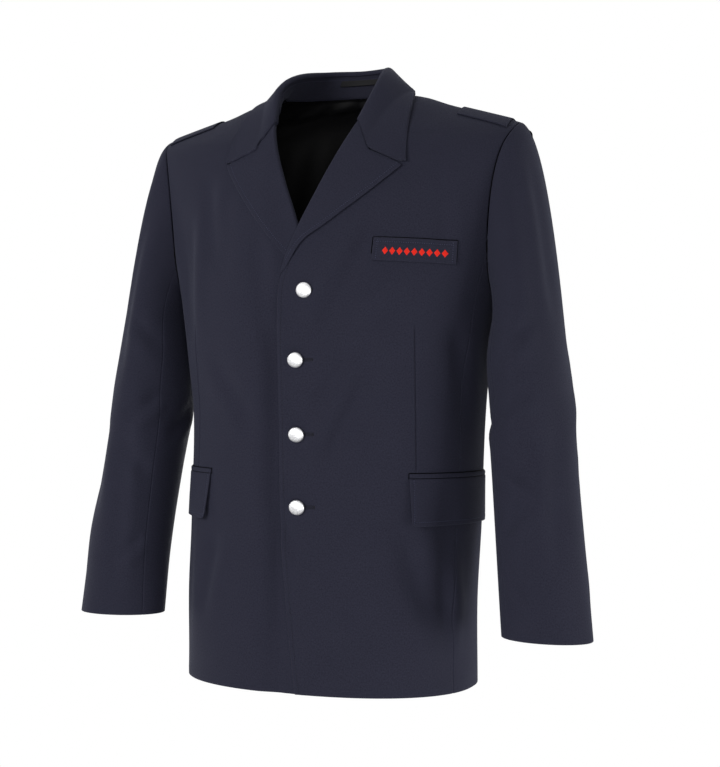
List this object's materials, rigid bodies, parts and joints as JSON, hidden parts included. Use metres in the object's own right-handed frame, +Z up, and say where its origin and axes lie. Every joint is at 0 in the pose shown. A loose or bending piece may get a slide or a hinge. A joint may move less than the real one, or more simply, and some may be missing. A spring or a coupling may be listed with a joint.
{
  "type": "firefighter dress jacket",
  "caption": "Dark navy single-breasted dress jacket, filled out as worn and empty, with peaked lapels, flap pockets, a breast welt and metal buttons.",
  "frame": {"origin": "midway between the two side neck points, at the height where the wearer's shoulders carry the jacket", "axes": "+Z up; a wearer faces -Y, and the wearer's left is at +X"},
  "size_m": [0.7084, 0.2772, 0.8191],
  "materials": {
    "wool": "fine dark navy twill, matt",
    "lining": "black satin lining, soft sheen",
    "button": "silver coloured metal, finely grained"
  },
  "bodies": {
    "root": {"front_left": "wool", "front_right": "wool", "back_left": "wool", "back_right": "wool", "side_left": "wool", "side_right": "wool", "sleeve_top_left": "wool", "sleeve_top_right": "wool", "sleeve_under_left": "wool", "sleeve_under_right": "wool", "lapel_left": "wool", "lapel_right": "wool", "collar_leaf": "wool", "collar_stand": "wool", "flap_left": "wool", "flap_right": "wool", "flap_welt_left": "wool", "flap_welt_right": "wool", "breast_welt": "wool", "shoulder_loop_left": "wool", "shoulder_loop_right": "wool", "hanger_loop": "lining", "neck_lining": "lining", "button_1": "button", "button_2": "button", "button_3": "button", "button_4": "button"}
  },
  "joints": []
}
